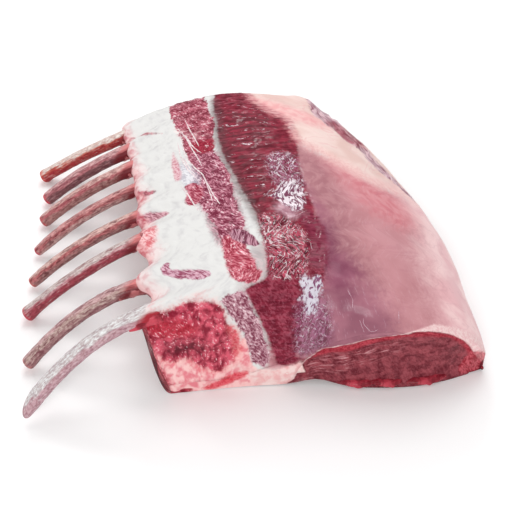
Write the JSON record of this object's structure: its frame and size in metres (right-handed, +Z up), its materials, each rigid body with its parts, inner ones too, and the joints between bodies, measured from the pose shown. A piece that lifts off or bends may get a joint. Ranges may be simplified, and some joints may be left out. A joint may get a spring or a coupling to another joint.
{
  "type": "rack of lamb",
  "caption": "Raw frenched rack of lamb: red loin meat with white and cream fat, and bare curved rib bones along one side.",
  "frame": {"origin": "middle of the rack's footprint, on the surface that it lies on", "axes": "+X from the bone tips towards the backbone side, +Y from the loin end towards the shoulder end, +Z up, out of the fat side"},
  "size_m": [0.191, 0.175, 0.0513],
  "materials": {
    "raw_meat": "moist raw meat and fat",
    "bone": "scraped damp bone"
  },
  "bodies": {
    "root": {"meat": "raw_meat", "rib_1": "bone", "rib_2": "bone", "rib_3": "bone", "rib_4": "bone", "rib_5": "bone", "rib_6": "bone", "rib_7": "bone", "rib_8": "bone"}
  },
  "joints": []
}
